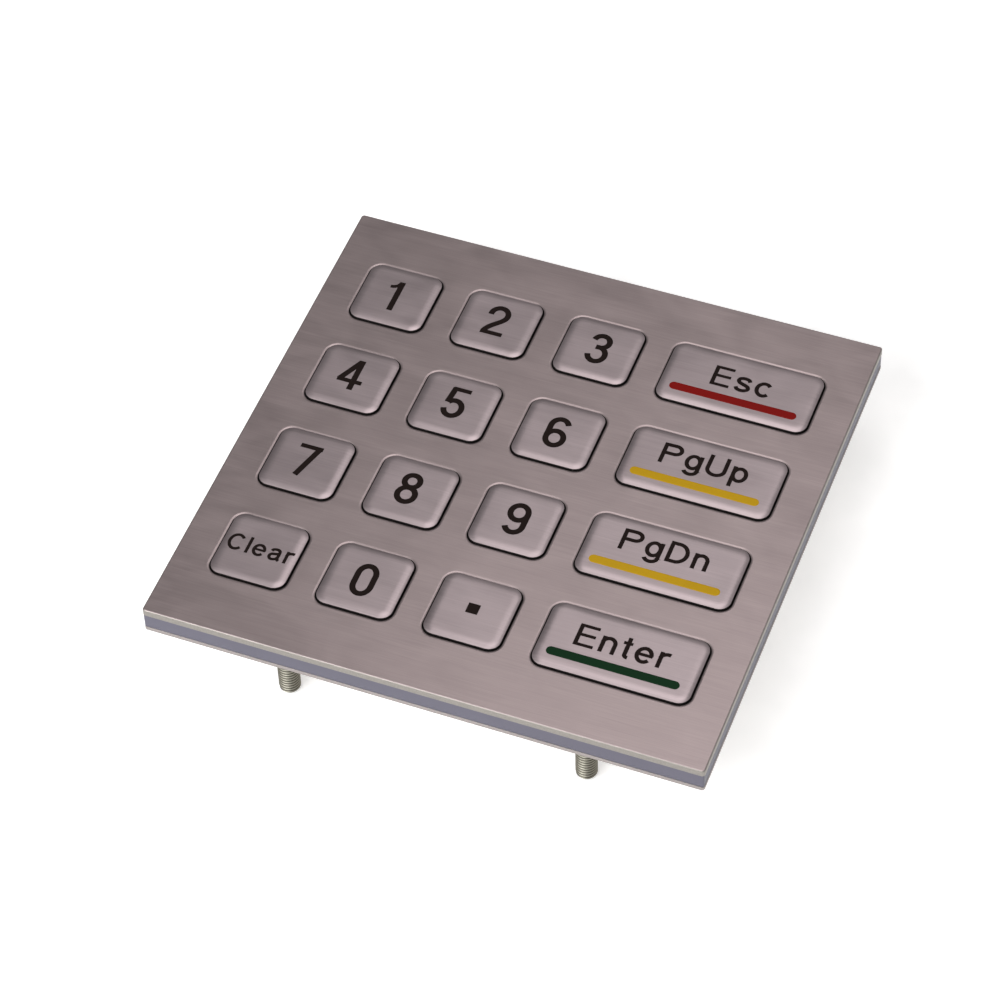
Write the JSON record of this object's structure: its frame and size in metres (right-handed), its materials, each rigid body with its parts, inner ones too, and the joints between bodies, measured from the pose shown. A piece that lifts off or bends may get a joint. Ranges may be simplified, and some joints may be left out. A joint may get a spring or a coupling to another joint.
{
  "type": "metal numeric keypad",
  "caption": "Flat square brushed-steel keypad for a terminal panel, with short-travel number and function keys, a layered edge and threaded mounting studs behind it.",
  "frame": {"origin": "centre of the back plate's rear seating face, which lies against the host panel", "axes": "+Z out of the front face, towards the person pressing the keys; +X along a row of keys to the right; +Y up the columns, towards the 1-2-3 row"},
  "size_m": [0.105, 0.104, 0.021],
  "materials": {
    "brushed_steel": "brushed",
    "key_steel": "brushed",
    "plate_steel": "satin",
    "stud_steel": "satin",
    "screw_steel": "satin",
    "spacer_plastic": "matte",
    "silicone": "matte",
    "board_green": "satin",
    "header_plastic": "matte",
    "pin_metal": "polished",
    "legend_fill": "matte",
    "red_fill": "gloss",
    "yellow_fill": "gloss",
    "green_fill": "gloss"
  },
  "bodies": {
    "housing": {"front_panel": "brushed_steel", "spacer_frame": "spacer_plastic", "back_plate": "plate_steel", "silicone_mat": "silicone", "circuit_board": "board_green", "header_block": "header_plastic", "header_pin_1": "pin_metal", "header_pin_2": "pin_metal", "header_pin_3": "pin_metal", "header_pin_4": "pin_metal", "header_pin_5": "pin_metal", "header_pin_6": "pin_metal", "header_pin_7": "pin_metal", "header_pin_8": "pin_metal", "stud_front_left": "stud_steel", "stud_front_right": "stud_steel", "stud_back_left": "stud_steel", "stud_back_right": "stud_steel", "screw_front_left": "screw_steel", "screw_front_middle": "screw_steel", "screw_front_right": "screw_steel", "screw_back_left": "screw_steel", "screw_back_middle": "screw_steel", "screw_back_right": "screw_steel", "dome_1": "silicone", "dome_2": "silicone", "dome_3": "silicone", "dome_esc": "silicone", "dome_4": "silicone", "dome_5": "silicone", "dome_6": "silicone", "dome_page_up": "silicone", "dome_7": "silicone", "dome_8": "silicone", "dome_9": "silicone", "dome_page_down": "silicone", "dome_clear": "silicone", "dome_0": "silicone", "dome_dot": "silicone", "dome_enter": "silicone"},
    "key_1": {"key_1": "key_steel"},
    "key_2": {"key_2": "key_steel"},
    "key_3": {"key_3": "key_steel"},
    "key_esc": {"key_esc": "key_steel"},
    "key_4": {"key_4": "key_steel"},
    "key_5": {"key_5": "key_steel"},
    "key_6": {"key_6": "key_steel"},
    "key_page_up": {"key_page_up": "key_steel"},
    "key_7": {"key_7": "key_steel"},
    "key_8": {"key_8": "key_steel"},
    "key_9": {"key_9": "key_steel"},
    "key_page_down": {"key_page_down": "key_steel"},
    "key_clear": {"key_clear": "key_steel"},
    "key_0": {"key_0": "key_steel"},
    "key_dot": {"key_dot": "key_steel"},
    "key_enter": {"key_enter": "key_steel"}
  },
  "joints": [
    {"name": "key_1_press", "type": "slide", "parent": "housing", "child": "key_1", "axis": [0, 0, 1], "range_m": [-0.00045, 0], "stiffness_N_per_m": 5000, "springref_m": 0.00002, "deforming": ["dome_1"]},
    {"name": "key_2_press", "type": "slide", "parent": "housing", "child": "key_2", "axis": [0, 0, 1], "range_m": [-0.00045, 0], "stiffness_N_per_m": 5000, "springref_m": 0.00002, "deforming": ["dome_2"]},
    {"name": "key_3_press", "type": "slide", "parent": "housing", "child": "key_3", "axis": [0, 0, 1], "range_m": [-0.00045, 0], "stiffness_N_per_m": 5000, "springref_m": 0.00002, "deforming": ["dome_3"]},
    {"name": "key_esc_press", "type": "slide", "parent": "housing", "child": "key_esc", "axis": [0, 0, 1], "range_m": [-0.00045, 0], "stiffness_N_per_m": 5000, "springref_m": 0.00002, "deforming": ["dome_esc"]},
    {"name": "key_4_press", "type": "slide", "parent": "housing", "child": "key_4", "axis": [0, 0, 1], "range_m": [-0.00045, 0], "stiffness_N_per_m": 5000, "springref_m": 0.00002, "deforming": ["dome_4"]},
    {"name": "key_5_press", "type": "slide", "parent": "housing", "child": "key_5", "axis": [0, 0, 1], "range_m": [-0.00045, 0], "stiffness_N_per_m": 5000, "springref_m": 0.00002, "deforming": ["dome_5"]},
    {"name": "key_6_press", "type": "slide", "parent": "housing", "child": "key_6", "axis": [0, 0, 1], "range_m": [-0.00045, 0], "stiffness_N_per_m": 5000, "springref_m": 0.00002, "deforming": ["dome_6"]},
    {"name": "key_page_up_press", "type": "slide", "parent": "housing", "child": "key_page_up", "axis": [0, 0, 1], "range_m": [-0.00045, 0], "stiffness_N_per_m": 5000, "springref_m": 0.00002, "deforming": ["dome_page_up"]},
    {"name": "key_7_press", "type": "slide", "parent": "housing", "child": "key_7", "axis": [0, 0, 1], "range_m": [-0.00045, 0], "stiffness_N_per_m": 5000, "springref_m": 0.00002, "deforming": ["dome_7"]},
    {"name": "key_8_press", "type": "slide", "parent": "housing", "child": "key_8", "axis": [0, 0, 1], "range_m": [-0.00045, 0], "stiffness_N_per_m": 5000, "springref_m": 0.00002, "deforming": ["dome_8"]},
    {"name": "key_9_press", "type": "slide", "parent": "housing", "child": "key_9", "axis": [0, 0, 1], "range_m": [-0.00045, 0], "stiffness_N_per_m": 5000, "springref_m": 0.00002, "deforming": ["dome_9"]},
    {"name": "key_page_down_press", "type": "slide", "parent": "housing", "child": "key_page_down", "axis": [0, 0, 1], "range_m": [-0.00045, 0], "stiffness_N_per_m": 5000, "springref_m": 0.00002, "deforming": ["dome_page_down"]},
    {"name": "key_clear_press", "type": "slide", "parent": "housing", "child": "key_clear", "axis": [0, 0, 1], "range_m": [-0.00045, 0], "stiffness_N_per_m": 5000, "springref_m": 0.00002, "deforming": ["dome_clear"]},
    {"name": "key_0_press", "type": "slide", "parent": "housing", "child": "key_0", "axis": [0, 0, 1], "range_m": [-0.00045, 0], "stiffness_N_per_m": 5000, "springref_m": 0.00002, "deforming": ["dome_0"]},
    {"name": "key_dot_press", "type": "slide", "parent": "housing", "child": "key_dot", "axis": [0, 0, 1], "range_m": [-0.00045, 0], "stiffness_N_per_m": 5000, "springref_m": 0.00002, "deforming": ["dome_dot"]},
    {"name": "key_enter_press", "type": "slide", "parent": "housing", "child": "key_enter", "axis": [0, 0, 1], "range_m": [-0.00045, 0], "stiffness_N_per_m": 5000, "springref_m": 0.00002, "deforming": ["dome_enter"]}
  ]
}
